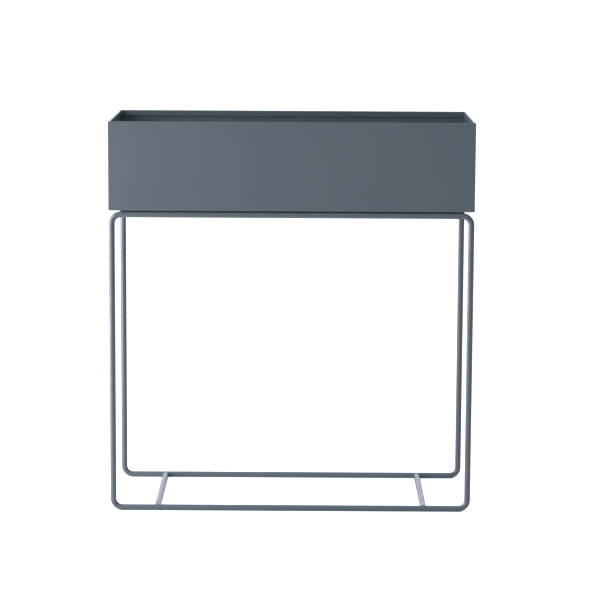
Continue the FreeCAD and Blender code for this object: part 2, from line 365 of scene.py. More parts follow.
def ring_bead(bm, point_at, normal, around, weld):
    """Add a rippled weld bead round the closed path point_at(turn), around metres long."""
    ripples = round(around / weld.ripple_pitch)
    steps = ripples * weld.stations_per_ripple
    stations = []
    for step in range(steps + 1):
        turn = math.tau * step / steps
        small = math.tau / steps / 2
        heading = (point_at(turn + small) - point_at(turn - small)).normalized()
        swell = 1 + weld.ripple_height * ripple(step / weld.stations_per_ripple, 1.0)
        stations.append((point_at(turn), heading, weld.bead_radius * swell))
    tube_through(bm, stations, normal, weld.bead_sides, closed=True)


def temporary_object(bm):
    """Put a bmesh in a temporary object."""
    mesh = bpy.data.meshes.new("temporary")
    bmesh.ops.recalc_face_normals(bm, faces=bm.faces)
    bm.to_mesh(mesh)
    holder = bpy.data.objects.new("temporary", mesh)
    bpy.context.scene.collection.objects.link(holder)
    return holder


def carve(bm, cutter_bm):
    """Cut a closed cutter out of bm, and free the cutter."""
    body = temporary_object(bm)
    cutter = temporary_object(cutter_bm)
    cutter_bm.free()
    cut = body.modifiers.new("cut", "BOOLEAN")
    cut.operation = "DIFFERENCE"
    cut.solver = "EXACT"
    cut.object = cutter
    shaped = body.evaluated_get(bpy.context.evaluated_depsgraph_get())
    result = bpy.data.meshes.new_from_object(shaped)
    bm.clear()
    bm.from_mesh(result)
    for holder in (body, cutter):
        mesh = holder.data
        bpy.data.objects.remove(holder)
        bpy.data.meshes.remove(mesh)
    bpy.data.meshes.remove(result)


def finish_piece(bm, name, material, slot, *nodes):
    """Turn a bmesh into a finished piece that stands for the named nodes and rides on the planter."""
    bmesh.ops.remove_doubles(bm, verts=bm.verts, dist=MERGE_DISTANCE)
    bmesh.ops.recalc_face_normals(bm, faces=bm.faces)
    mesh = bpy.data.meshes.new(name)
    bm.to_mesh(mesh)
    bm.free()
    mesh.shade_smooth()
    mesh.set_sharp_from_angle(angle=SHARP_ANGLE)
    mesh.materials.append(material)
    piece = bpy.data.objects.new(name, mesh)
    bpy.context.scene.collection.objects.link(piece)
    even = piece.modifiers.new("even_normals", "WEIGHTED_NORMAL")
    even.keep_sharp = True
    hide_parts(*nodes)
    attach(piece, BODY)


# ---------------------------------------------------------------- shader helpers
def add_node(tree, kind, **values):
    """Add a node, and set its attributes and its named inputs."""
    node = tree.nodes.new(kind)
    for key, value in values.items():
        if key in node.inputs:
            node.inputs[key].default_value = value
        else:
            setattr(node, key, value)
    return node


def new_group(name, inputs, outputs):
    """Make a shader group with (name, kind, default) inputs and (name, kind) outputs."""
    group = bpy.data.node_groups.new(name, "ShaderNodeTree")
    for title, kind, default in inputs:
        socket = group.interface.new_socket(title, in_out="INPUT", socket_type=kind)
        socket.default_value = default
    for title, kind in outputs:
        group.interface.new_socket(title, in_out="OUTPUT", socket_type=kind)
    return group, group.nodes.new("NodeGroupInput"), group.nodes.new("NodeGroupOutput")


def object_point(tree):
    """Output with the position on the object, in metres."""
    return add_node(tree, "ShaderNodeTexCoord").outputs["Object"]


def noise(tree, point, scale, detail, roughness=0.5):
    """Output of a noise pattern with this many features in a metre."""
    node = add_node(tree, "ShaderNodeTexNoise", Scale=scale, Detail=detail, Roughness=roughness)
    tree.links.new(point, node.inputs["Vector"])
    return node.outputs["Fac"]


def remap(tree, value, low, high, to_low, to_high):
    """Output that maps a value from one range to another, clamped."""
    node = add_node(tree, "ShaderNodeMapRange", clamp=True)
    for socket, limit in zip(node.inputs[1:5], (low, high, to_low, to_high)):
        socket.default_value = limit
    tree.links.new(value, node.inputs[0])
    return node.outputs[0]


def combine(tree, operation, first, second):
    """Output of a math node on two outputs or numbers."""
    node = add_node(tree, "ShaderNodeMath", operation=operation)
    for socket, value in zip(node.inputs, (first, second)):
        if isinstance(value, (int, float)):
            socket.default_value = value
        else:
            tree.links.new(value, socket)
    return node.outputs[0]


def blend_colours(tree, mask, first, second):
    """Output that blends two colours by a mask; each is an output or a fixed (r, g, b)."""
    node = add_node(tree, "ShaderNodeMix", data_type="RGBA")
    tree.links.new(mask, node.inputs["Factor"])
    for socket, value in zip(node.inputs[6:8], (first, second)):
        if isinstance(value, tuple):
            socket.default_value = (*value, 1)
        else:
            tree.links.new(value, socket)
    return node.outputs[2]


def output_tint(group, start, end, shares, tint):
    """Put out the product of two shares and Amount as Mask, and Colour tinted by it."""
    mask = combine(group, "MULTIPLY", combine(group, "MULTIPLY", *shares), start.outputs["Amount"])
    group.links.new(mask, end.inputs["Mask"])
    tinted = blend_colours(group, mask, start.outputs["Colour"], start.outputs[tint])
    group.links.new(tinted, end.inputs["Colour"])


def coat_skin_group():
    """Powder coat: faint cloudiness of tone, fine speckle, and the orange-peel surface."""
    group, start, end = new_group(
        "coat_skin",
        (
            ("Coat", "NodeSocketColor", (0.1, 0.14, 0.17, 1)),
            ("Light Coat", "NodeSocketColor", (0.15, 0.19, 0.22, 1)),
            ("Cloudiness", "NodeSocketFloat", 0.12),
            ("Roughness", "NodeSocketFloat", 0.4),
        ),
        (
            ("Colour", "NodeSocketColor"),
            ("Roughness", "NodeSocketFloat"),
            ("Height", "NodeSocketFloat"),
        ),
    )
    point = object_point(group)
    clouds = noise(group, point, 9.0, 3.0)
    speckle = noise(group, point, 2600.0, 1.0)
    peel = noise(group, point, 620.0, 2.0, 0.45)
    drift = noise(group, point, 55.0, 2.0)
    cloudy = remap(group, clouds, 0.35, 0.7, 0.0, 1.0)
    tone = combine(group, "MULTIPLY", cloudy, start.outputs["Cloudiness"])
    grains = remap(group, speckle, 0.55, 0.75, 0.0, 0.16)
    lightness = combine(group, "ADD", tone, grains)
    mixed = blend_colours(group, lightness, start.outputs["Coat"], start.outputs["Light Coat"])
    group.links.new(mixed, end.inputs["Colour"])
    drifted = remap(group, drift, 0.3, 0.7, -0.035, 0.035)
    uneven = combine(group, "ADD", drifted, start.outputs["Roughness"])
    sparkle = remap(group, speckle, 0.3, 0.7, 0.03, -0.03)
    group.links.new(combine(group, "ADD", uneven, sparkle), end.inputs["Roughness"])
    fine = combine(group, "MULTIPLY", speckle, 0.18)
    group.links.new(combine(group, "ADD", peel, fine), end.inputs["Height"])
    return group


def ground_rub_group():
    """Rub marks where the bottom rods stand on the ground: a mask that fades upwards."""
    group, start, end = new_group(
        "ground_rub",
        (
            ("Colour", "NodeSocketColor", (0.1, 0.14, 0.17, 1)),
            ("Rubbed", "NodeSocketColor", (0.3, 0.32, 0.34, 1)),
            ("Height", "NodeSocketFloat", 0.001),
            ("Amount", "NodeSocketFloat", 0.6),
        ),
        (("Colour", "NodeSocketColor"), ("Mask", "NodeSocketFloat")),
    )
    point = object_point(group)
    split = add_node(group, "ShaderNodeSeparateXYZ")
    group.links.new(point, split.inputs[0])
    rise = combine(group, "DIVIDE", split.outputs["Z"], start.outputs["Height"])
    low = remap(group, rise, 0.0, 1.0, 1.0, 0.0)
    patches = remap(group, noise(group, point, 160.0, 4.0, 0.6), 0.45, 0.62, 0.0, 1.0)
    output_tint(group, start, end, (low, patches), "Rubbed")
    return group


def settled_dust_group():
    """A trace of dust on faces that look up, in faint drifts."""
    group, start, end = new_group(
        "settled_dust",
        (
            ("Colour", "NodeSocketColor", (0.1, 0.14, 0.17, 1)),
            ("Dust", "NodeSocketColor", (0.32, 0.32, 0.31, 1)),
            ("Amount", "NodeSocketFloat", 0.1),
        ),
        (("Colour", "NodeSocketColor"), ("Mask", "NodeSocketFloat")),
    )
    place = add_node(group, "ShaderNodeTexCoord")
    split = add_node(group, "ShaderNodeSeparateXYZ")
    group.links.new(place.outputs["Normal"], split.inputs[0])
    upward = remap(group, split.outputs["Z"], 0.6, 1.0, 0.0, 1.0)
    drifts = remap(group, noise(group, place.outputs["Object"], 38.0, 5.0, 0.6), 0.38, 0.68, 0.25, 1.0)
    output_tint(group, start, end, (upward, drifts), "Dust")
    return group


def place_group(tree, name, maker, **values):
    """Add a shader group node, making the group if it isn't there yet."""
    group = bpy.data.node_groups.get(name) or maker()
    node = add_node(tree, "ShaderNodeGroup", node_tree=group)
    for key, value in values.items():
        node.inputs[key.replace("_", " ")].default_value = value
    return node


def new_material(name):
    """Make a material with a Principled shader, and return it with its tree and shader."""
    material = bpy.data.materials.new(name)
    material.use_nodes = True
    tree = material.node_tree
    return material, tree, tree.nodes["Principled BSDF"]


def link_bump(tree, shader, height, strength, distance):
    """Feed a height into the shader's normal."""
    bump = add_node(tree, "ShaderNodeBump", Strength=strength, Distance=distance)
    tree.links.new(height, bump.inputs["Height"])
    tree.links.new(bump.outputs["Normal"], shader.inputs["Normal"])


def coat_material(name, dust=0.06, rub=0.0, peel=0.04 * MM, roughness=0.33, cloudiness=0.12):
    """Satin powder coat; dust and rub are the amounts of settled dust and of wear at the ground."""
    made = bpy.data.materials.get(name)
    if made:
        return made
    finish = bpy.context.scene.planter_finish
    material, tree, shader = new_material(name)
    skin = place_group(
        tree,
        "coat_skin",
        coat_skin_group,
        Coat=(*finish.coat, 1),
        Light_Coat=(*finish.coat_light, 1),
        Cloudiness=cloudiness,
        Roughness=roughness,
    )
    rubbed = place_group(
        tree, "ground_rub", ground_rub_group, Rubbed=(0.24, 0.26, 0.28, 1), Height=0.9 * MM, Amount=rub
    )
    dusty = place_group(tree, "settled_dust", settled_dust_group, Dust=(0.34, 0.34, 0.33, 1), Amount=dust)
    tree.links.new(skin.outputs["Colour"], rubbed.inputs["Colour"])
    tree.links.new(rubbed.outputs["Colour"], dusty.inputs["Colour"])
    tree.links.new(dusty.outputs["Colour"], shader.inputs["Base Color"])
    duller = combine(tree, "ADD", rubbed.outputs["Mask"], dusty.outputs["Mask"])
    dulled = combine(tree, "ADD", skin.outputs["Roughness"], combine(tree, "MULTIPLY", duller, 0.5))
    tree.links.new(dulled, shader.inputs["Roughness"])
    link_bump(tree, shader, skin.outputs["Height"], 0.35, peel)
    shader.inputs["IOR"].default_value = 1.5
    return material


def rod_coat():
    """The rods' smoother and glossier coat, rubbed where they stand on the ground."""
    return coat_material("rod_coat", rub=0.6, peel=0.01 * MM, roughness=0.25, cloudiness=0.04)


def rubber_material(name, roughness):
    """Matt blue-black rubber with a fine moulded grain; on the cushion strips this dark tone also serves as
    painted shade for the contact line under the box.
    """
    made = bpy.data.materials.get(name)
    if made:
        return made
    material, tree, shader = new_material(name)
    point = object_point(tree)
    grain = noise(tree, point, 1400.0, 3.0, 0.6)
    bloom = remap(tree, noise(tree, point, 60.0, 4.0), 0.45, 0.75, 0.0, 0.5)
    dark = tuple(bpy.context.scene.planter_finish.rubber)
    grey = tuple(3 * part for part in dark)
    tree.links.new(blend_colours(tree, bloom, dark, grey), shader.inputs["Base Color"])
    rough = remap(tree, grain, 0.3, 0.7, roughness - 0.06, roughness + 0.06)
    tree.links.new(rough, shader.inputs["Roughness"])
    link_bump(tree, shader, grain, 0.4, 0.04 * MM)
    shader.inputs["Specular IOR Level"].default_value = 0.35
    return material


def steel_material(name, streak_stretch, roughness):
    """Stainless steel with fine machining streaks; streak_stretch squeezes them along each axis."""
    made = bpy.data.materials.get(name)
    if made:
        return made
    material, tree, shader = new_material(name)
    point = object_point(tree)
    mapping = add_node(tree, "ShaderNodeMapping", Scale=streak_stretch)
    tree.links.new(point, mapping.inputs["Vector"])
    streaks = noise(tree, mapping.outputs["Vector"], 900.0, 3.0, 0.6)
    stain = remap(tree, noise(tree, point, 240.0, 3.0), 0.4, 0.7, 0.0, 0.8)
    bright = tuple(bpy.context.scene.planter_finish.steel)
    dull = tuple(0.72 * part for part in bright)
    tree.links.new(blend_colours(tree, stain, bright, dull), shader.inputs["Base Color"])
    rough = remap(tree, streaks, 0.3, 0.7, roughness - 0.08, roughness + 0.08)
    tree.links.new(rough, shader.inputs["Roughness"])
    link_bump(tree, shader, streaks, 0.3, 0.02 * MM)
    shader.inputs["Metallic"].default_value = 1.0
    return material


# ---------------------------------------------------------------- box
def add_wedge(bm, side, corners, bottom):
    """Add an upright cutter at one end, from bottom to above the rim.

    Each corner is (out, y): out is True outside the end and False inside its hem.
    """
    outer = side * (HALF_LENGTH + CUTTER_MARGIN)
    inner = side * (HALF_LENGTH - HEM_REACH)
    points = [(Vector((outer if out else inner, y, bottom)), 0) for out, y in corners]
    extrude_section(bm, points, Z_AXIS * (BOX_TOP + CUTTER_MARGIN - bottom), 1)


def mitre_wedge(bm, side, bottom):
    """Add the wedge-shaped space round one end's hem, bounded by 45 degree planes at its corners."""
    outer_y = HALF_DEPTH + CUTTER_MARGIN
    inner_y = HALF_DEPTH - HEM_REACH
    add_wedge(bm, side, [(True, -outer_y), (True, outer_y), (False, inner_y), (False, -inner_y)], bottom)


def corner_wedge(bm, side, y_side, bottom):
    """Add the space at one corner that belongs to the long wall's hem."""
    outer_y = y_side * (HALF_DEPTH + CUTTER_MARGIN)
    inner_y = y_side * (HALF_DEPTH - HEM_REACH)
    add_wedge(bm, side, [(True, outer_y), (False, outer_y), (False, inner_y)], bottom)


def screw_centres():
    """Yield the ground point under each of the four screws."""
    for x_side in SIDES:
        for y_side in SIDES:
            yield Vector((x_side * BAR_X, y_side * SCREW_Y, 0))


def add_screw_holes(bm, radius, low, high):
    """Add the four upright cylinders that cut the screw holes."""
    for centre in screw_centres():
        bmesh.ops.create_cone(
            bm,
            cap_ends=True,
            segments=32,
            radius1=radius,
            radius2=radius,
            depth=high - low,
            matrix=Matrix.Translation(centre + Z_AXIS * (low + high) / 2),
        )


def hem_corners(sheet, inward, foot):
    """Corners of a hemmed wall's section, from its outer top to its foot.

    inward gives the point at a distance in from the outer face and a height; foot holds the last corners.
    """
    fold_rounding = SHEET * 0.98
    cut_rounding = 0.2 * MM
    hem_bottom = BOX_TOP - sheet.hem_height
    slit_inner = SHEET + sheet.hem_slit
    slit_top = hem_bottom + sheet.slit_depth
    return [
        (inward(0, BOX_TOP), fold_rounding),
        (inward(HEM_THICKNESS, BOX_TOP), fold_rounding),
        (inward(HEM_THICKNESS, hem_bottom), cut_rounding),
        (inward(slit_inner, hem_bottom), 0),
        (inward(slit_inner, slit_top), 0),
        (inward(SHEET, slit_top), 0),
        *foot,
    ]


class PLANTER_OT_box_trough(bpy.types.Operator):
    """Fold the front wall, floor and rear wall from one sheet, with hemmed rims"""

    bl_idname = "planter.box_trough"
    bl_label = "Box Trough"

    def execute(self, context):
        sheet = context.scene.planter_sheet
        outer_fold = sheet.fold_inner_radius + SHEET

        def wall(y_side):
            """Corners of one long wall, down to the fold at its foot."""

            def inward(depth, z):
                return Vector((-HALF_LENGTH, y_side * (HALF_DEPTH - depth), z))

            return hem_corners(sheet, inward, [(inward(SHEET, FLOOR_TOP), sheet.fold_inner_radius)])

        under = [(Vector((-HALF_LENGTH, y, BOX_BOTTOM)), outer_fold) for y in (HALF_DEPTH, -HALF_DEPTH)]
        section = wall(-1) + wall(1)[::-1] + under
        bm = bmesh.new()
        extrude_section(bm, section, X_AXIS * 2 * HALF_LENGTH, sheet.fold_segments)
        self.round_ends(bm, sheet)
        cutter = bmesh.new()
        for side in SIDES:
            mitre_wedge(cutter, side, BOX_TOP - sheet.hem_height - MERGE_DISTANCE * 10)
        add_screw_holes(cutter, sheet.hole_radius, BOX_BOTTOM - CUTTER_MARGIN, FLOOR_TOP + CUTTER_MARGIN)
        carve(bm, cutter)
        finish_piece(bm, "trough_sheet", coat_material("sheet_coat"), "coated_sheet", "box_trough")
        return {"FINISHED"}

    @staticmethod
    def round_ends(bm, sheet):
        """Round the outer edges of both cut ends, as the coat does."""
        middle = Vector((0, 0, BOX_TOP))
        chosen = []
        for edge in bm.edges:
            at_end = all(abs(abs(vert.co.x) - HALF_LENGTH) < MERGE_DISTANCE for vert in edge.verts)
            if not at_end or len(edge.link_faces) != 2:
                continue
            along = min(edge.link_faces, key=lambda face: abs(face.normal.x))
            centre = (edge.verts[0].co + edge.verts[1].co) / 2
            outwards = centre - middle
            outwards.x = 0
            if along.normal.dot(outwards) > 0 and centre.z < BOX_TOP - sheet.hem_height:
                chosen.append(edge)
            elif along.normal.y * centre.y > 0 and abs(centre.y) > HALF_DEPTH - MERGE_DISTANCE:
                chosen.append(edge)
        bevel_edges(bm, chosen, sheet.edge_radius)


class PLANTER_OT_box_ends(bpy.types.Operator):
    """Stand a hemmed end panel between the long walls at each end"""

    bl_idname = "planter.box_ends"
    bl_label = "Box Ends"

    def execute(self, context):
        sheet = context.scene.planter_sheet
        hem_bottom = BOX_TOP - sheet.hem_height
        for name, side in LEFT_RIGHT:

            def inward(depth, z, side=side):
                return Vector((side * (HALF_LENGTH - depth), -HALF_DEPTH, z))

            section = hem_corners(sheet, inward, [(inward(depth, FLOOR_TOP), 0) for depth in (SHEET, 0)])
            bm = bmesh.new()
            extrude_section(bm, section, Y_AXIS * 2 * HALF_DEPTH, sheet.fold_segments)
            cutter = bmesh.new()
            for y_side in SIDES:
                corner_wedge(cutter, side, y_side, hem_bottom)
            carve(bm, cutter)
            cutter = bmesh.new()
            x_range = sorted(side * (HALF_LENGTH + past) for past in (-2 * CUTTER_MARGIN, CUTTER_MARGIN))
            for y_side in SIDES:
                y_range = sorted(y_side * (HALF_DEPTH + past) for past in (-SHEET, CUTTER_MARGIN))
                add_block(cutter, (x_range[0], y_range[0], BOX_BOTTOM), (x_range[1], y_range[1], hem_bottom))
            carve(bm, cutter)
            coat = coat_material("sheet_coat")
            finish_piece(bm, f"{name}_end_sheet", coat, "coated_sheet", f"box_{name}_end")
        return {"FINISHED"}


class PLANTER_OT_box_seams(bpy.types.Operator):
    """Lay weld beads up the inner corners and along the floor at each end"""

    bl_idname = "planter.box_seams"
    bl_label = "Box Seams"

    def execute(self, context):
        weld = context.scene.planter_weld
        sheet = context.scene.planter_sheet
        gap = weld.bead_inset
        top = BOX_TOP - sheet.hem_height - weld.bead_radius
        for name, side in LEFT_RIGHT:
            x = side * (HALF_LENGTH - SHEET - gap)
            y = HALF_DEPTH - SHEET - gap
            z = FLOOR_TOP + gap
            bm = bmesh.new()
            for y_side in SIDES:
                straight_bead(bm, Vector((x, y_side * y, z)), Vector((x, y_side * y, top)), X_AXIS, weld)
            straight_bead(bm, Vector((x, -y, z)), Vector((x, y, z)), X_AXIS, weld)
            coat = coat_material("weld_coat")
            finish_piece(bm, f"{name}_seam_beads", coat, "coated_weld", f"box_{name}_seam")
        return {"FINISHED"}


# ---------------------------------------------------------------- stand
def start_rod(bm, place, segments):
    """Add one end of a rod, a capped circle, to an empty bmesh and return its ring of edges."""
    bmesh.ops.create_circle(bm, cap_ends=True, segments=segments, radius=ROD_RADIUS, matrix=place)
    return list(bm.edges)


def pull_ring(bm, ring, travel):
    """Extrude a ring of edges along a vector and return the new ring."""
    made = bmesh.ops.extrude_edge_only(bm, edges=ring)["geom"]
    verts = [item for item in made if isinstance(item, bmesh.types.BMVert)]
    bmesh.ops.translate(bm, verts=verts, vec=travel)
    return [item for item in made if isinstance(item, bmesh.types.BMEdge)]


def bend_ring(bm, ring, centre, quarter, steps):
    """Sweep a ring of edges through a quarter turn about centre and return the new ring."""
    made = bmesh.ops.spin(
        bm, geom=ring, cent=centre, axis=Y_AXIS, angle=quarter * math.pi / 2, steps=steps
    )["geom_last"]
    return [item for item in made if isinstance(item, bmesh.types.BMEdge)]


class PLANTER_OT_rod_loops(bpy.types.Operator):
    """Bend the front and rear rod loops, open by the width of their butt welds"""

    bl_idname = "planter.rod_loops"
    bl_label = "Rod Loops"

    def execute(self, context):
        rod = context.scene.planter_rod
        for name, side in FRONT_REAR:
            bm = bmesh.new()
            self.add_loop(bm, side * LOOP_Y, rod)
            finish_piece(bm, f"{name}_rod_loop", rod_coat(), "coated_rod", f"{name}_loop")
        return {"FINISHED"}

    @staticmethod
    def add_loop(bm, y, rod):
        """Sweep one loop, from one side of its butt weld round to the other."""
        radius = rod.bend_radius
        start = Matrix.Translation((LOOP_WELD_X, y, TOP_ROD_Z)) @ Matrix.Rotation(math.pi / 2, 4, "Y")
        bend_x = SIDE_ROD_X - radius
        high = TOP_ROD_Z - radius
        low = ROD_RADIUS + radius
        ring = start_rod(bm, start, rod.ring_segments)
        ring = pull_ring(bm, ring, X_AXIS * (bend_x - LOOP_WELD_X))
        ring = bend_ring(bm, ring, Vector((bend_x, y, high)), 1, rod.bend_steps)
        ring = pull_ring(bm, ring, -Z_AXIS * (high - low))
        ring = bend_ring(bm, ring, Vector((bend_x, y, low)), 1, rod.bend_steps)
        ring = pull_ring(bm, ring, -X_AXIS * 2 * bend_x)
        ring = bend_ring(bm, ring, Vector((-bend_x, y, low)), 1, rod.bend_steps)
        ring = pull_ring(bm, ring, Z_AXIS * (high - low))
        ring = bend_ring(bm, ring, Vector((-bend_x, y, high)), 1, rod.bend_steps)
        ring = pull_ring(bm, ring, X_AXIS * (bend_x - LOOP_WELD_X))
        bmesh.ops.edgeloop_fill(bm, edges=ring)


class PLANTER_OT_cross_rods(bpy.types.Operator):
    """Lay the two cross rods between the bottom rods"""

    bl_idname = "planter.cross_rods"
    bl_label = "Cross Rods"

    def execute(self, context):
        rod = context.scene.planter_rod
        for name, side in LEFT_RIGHT:
            bm = bmesh.new()
            end = Matrix.Translation((side * CROSS_X, CROSS_LOW.y, ROD_RADIUS))
            ring = start_rod(bm, end @ Matrix.Rotation(math.pi / 2, 4, "X"), rod.ring_segments)
            ring = pull_ring(bm, ring, Y_AXIS * (CROSS_HIGH.y - CROSS_LOW.y))
            bmesh.ops.edgeloop_fill(bm, edges=ring)
            finish_piece(bm, f"{name}_cross_bar_rod", rod_coat(), "coated_rod", f"{name}_cross_rod")
        return {"FINISHED"}


class PLANTER_OT_stand_welds(bpy.types.Operator):
    """Lay the weld beads of the cross rods, support bars and loop joints"""

    bl_idname = "planter.stand_welds"
    bl_label = "Stand Welds"

    def execute(self, context):
        weld = context.scene.planter_weld
        coat = coat_material("weld_coat")
        for name, side in LEFT_RIGHT:
            bm = bmesh.new()
            for y_side in SIDES:
                self.cross_rod_bead(bm, side * CROSS_X, y_side, weld)
            finish_piece(bm, f"{name}_cross_rod_beads", coat, "coated_weld", f"{name}_cross_rod_welds")
            bm = bmesh.new()
            for y_side in SIDES:
                self.support_bar_bead(bm, side, y_side, weld)
            finish_piece(bm, f"{name}_support_bar_beads", coat, "coated_weld", f"{name}_support_bar_welds")
        for name, side in FRONT_REAR:
            bm = bmesh.new()
            self.ground_joint(bm, side * LOOP_Y, context.scene.planter_rod.ring_segments)
            finish_piece(bm, f"{name}_loop_joint", coat, "coated_weld", f"{name}_loop_weld")
        return {"FINISHED"}

    @staticmethod
    def cross_rod_bead(bm, x, y_side, weld):
        """Bead that fills the groove above and below, and makes a fillet at each side."""
        gap = weld.bead_inset
        tangent_y = LOOP_Y - ROD_RADIUS
        half_width = ROD_RADIUS + gap
        half_height = ROD_RADIUS - weld.bead_radius * (1 + weld.ripple_height) - 0.1 * MM
        groove_reach = 1.8 * MM

        def point_at(turn):
            across = math.sin(turn)
            level = math.cos(turn)
            y = tangent_y - gap + groove_reach * level ** 2
            return Vector((x + half_width * across, y_side * y, ROD_RADIUS + half_height * level))

        around = math.pi * (half_width + half_height)
        ring_bead(bm, point_at, Y_AXIS, around, weld)

    @staticmethod
    def support_bar_bead(bm, side, y_side, weld):
        """Beads at the end of a support bar: one under it, one in the groove between it and the rod."""
        half = (BAR_HIGH.x - BAR_LOW.x) / 2 - weld.bead_radius / 2
        under = (BAR_HIGH.y - weld.bead_inset, BAR_LOW.z - weld.bead_inset * 0.5)
        groove = (BAR_HIGH.y + 0.3 * MM, LOOP_TOP - 1.8 * MM)
        for y, z in (under, groove):
            ends = [Vector((side * x, y_side * y, z)) for x in (BAR_X - half, BAR_X + half)]
            straight_bead(bm, *ends, Z_AXIS, weld)

    @staticmethod
    def ground_joint(bm, y, ring_segments):
        """Slice of weld metal, ground back a trace below the rod's own surface."""
        ground_depth = 0.04 * MM
        stations = []
        for share, depth in ((-1, 0.0), (-0.5, ground_depth), (0.5, ground_depth), (1, 0.0)):
            stations.append((Vector((share * LOOP_WELD_X, y, TOP_ROD_Z)), X_AXIS, ROD_RADIUS - depth))
        tube_through(bm, stations, Y_AXIS, ring_segments)


class PLANTER_OT_support_bars(bpy.types.Operator):
    """Cut the two flat bars and their screw holes"""

    bl_idname = "planter.support_bars"
    bl_label = "Support Bars"

    def execute(self, context):
        rod = context.scene.planter_rod
        sheet = context.scene.planter_sheet
        for name, side in LEFT_RIGHT:
            low = Vector(BAR_LOW)
            high = Vector(BAR_HIGH)
            if side < 0:
                low.x, high.x = -BAR_HIGH.x, -BAR_LOW.x
            bm = bmesh.new()
            add_block(bm, low, high)
            bevel_edges(bm, list(bm.edges), rod.bar_edge_radius)
            cutter = bmesh.new()
            add_screw_holes(cutter, sheet.hole_radius, low.z - CUTTER_MARGIN, high.z + CUTTER_MARGIN)
            carve(bm, cutter)
            coat = coat_material("bar_coat")
            finish_piece(bm, f"{name}_flat_bar", coat, "coated_bar", f"{name}_support_bar")
        return {"FINISHED"}


class PLANTER_OT_cushion_strips(bpy.types.Operator):
    """Lay the rubber strips along the crowns of the top rods; their dark tone is partly painted shade for
    the contact shadow between box and rods
    """

    bl_idname = "planter.cushion_strips"
    bl_label = "Cushion Strips"

    def execute(self, context):
        rod = context.scene.planter_rod
        half_width = (STRIP_HIGH.y - STRIP_LOW.y) / 2
        for name, side in FRONT_REAR:
            y = side * LOOP_Y
            low = (STRIP_LOW.x, y - half_width, TOP_ROD_Z)
            high = (STRIP_HIGH.x, y + half_width, STRIP_HIGH.z)
            bm = bmesh.new()
            add_block(bm, low, high)
            upper = [e for e in bm.edges if all(vert.co.z > LOOP_TOP for vert in e.verts)]
            bevel_edges(bm, upper, rod.strip_edge_radius)
            cutter = bmesh.new()
            bmesh.ops.create_cone(
                cutter,
                cap_ends=True,
                segments=4 * rod.ring_segments,
                radius1=ROD_RADIUS,
                radius2=ROD_RADIUS,
                depth=2 * HALF_LENGTH,
                matrix=Matrix.Translation((0, y, TOP_ROD_Z)) @ Matrix.Rotation(math.pi / 2, 4, "Y"),
            )
            carve(bm, cutter)
            # Dark strip, partly real rubber and partly painted shade: it stands for the contact shadow line
            # between box and rods.
            rubber = rubber_material("strip_rubber_shade", 0.8)
            finish_piece(bm, f"{name}_rubber_shade_strip", rubber, "cushion_rubber", f"{name}_cushion_strip")
        return {"FINISHED"}


# ---------------------------------------------------------------- fasteners
def turned_verts(bm, corners, centre, fastener):
    """Turn a half section about an upright line and return the new vertices."""
    before = set(bm.verts)
    spin_section(bm, corners, centre, fastener.turned_segments, 4)
    return [vert for vert in bm.verts if vert not in before]


class PLANTER_OT_screws(bpy.types.Operator):
    """Turn the button head screws, press their sockets and cut their threads"""

    bl_idname = "planter.screws"
    bl_label = "Screws"

    def execute(self, context):
        fastener = context.scene.planter_fastener
        bm = bmesh.new()
        for centre in screw_centres():
            self.add_screw(bm, centre, fastener)
        steel = steel_material("screw_steel", (1, 1, 6), 0.3)
        finish_piece(bm, "button_screws", steel, "screw_steel", "box_screws")
        return {"FINISHED"}

    @staticmethod
    def add_screw(bm, centre, fastener):
        """Add one screw: head with its socket, shank, and the thread's ridge."""
        seat = WASHER_HIGH.z
        crown = SCREW_HIGH.z
        tip = SCREW_LOW.z
        root = fastener.screw_radius * 0.86
        socket_corner = fastener.socket_width / math.sqrt(3)
        socket_floor = crown - fastener.socket_depth
        mouth = socket_corner + 0.25 * MM
        shoulder = fastener.head_radius * 0.72
        corners = [
            (0, tip, 0),
            (root - 0.3 * MM, tip, 0),
            (root, tip + 0.4 * MM, 0),
            (root, WASHER_LOW.z, 0),
            (fastener.screw_radius, WASHER_LOW.z, 0),
            (fastener.screw_radius, seat, 0),
            (fastener.head_radius, seat, 0.15 * MM),
            (fastener.head_radius, seat + fastener.head_rim, 0.2 * MM),
            (shoulder, crown - 0.45 * MM, 0.9 * MM),
            (mouth, crown, 0.15 * MM),
            (socket_corner, crown - 0.2 * MM, 0),
            (socket_corner, socket_floor, 0),
            (0, socket_floor - 0.5 * MM, 0),
        ]
        made = turned_verts(bm, corners, centre, fastener)
        upper = [vert for vert in made if vert.co.z > seat]
        press_hexagon(on_radius(upper, centre, socket_corner), centre, fastener.socket_width)
        steps_per_turn = 24
        turns = (WASHER_LOW.z - tip) / fastener.thread_pitch
        steps = round(turns * steps_per_turn)
        thread_low = tip + 0.3 * MM
        thread_height = WASHER_LOW.z - 0.3 * MM - thread_low
        rise = fastener.thread_pitch / math.tau
        full_ridge = 0.36 * MM
        stations = []
        for step in range(steps + 1):
            turn = math.tau * turns * step / steps
            outward = Vector((math.cos(turn), math.sin(turn), 0))
            heading = Vector((-root * outward.y, root * outward.x, rise)).normalized()
            turns_to_end = min(step, steps - step) / steps_per_turn
            ridge = full_ridge * min(1.0, 0.15 + 2 * turns_to_end)
            z = thread_low + thread_height * step / steps
            point = Vector((centre.x, centre.y, z)) + outward * (root - 0.02 * MM)
            stations.append((point, heading, ridge))
        tube_through(bm, stations, Z_AXIS, 6)


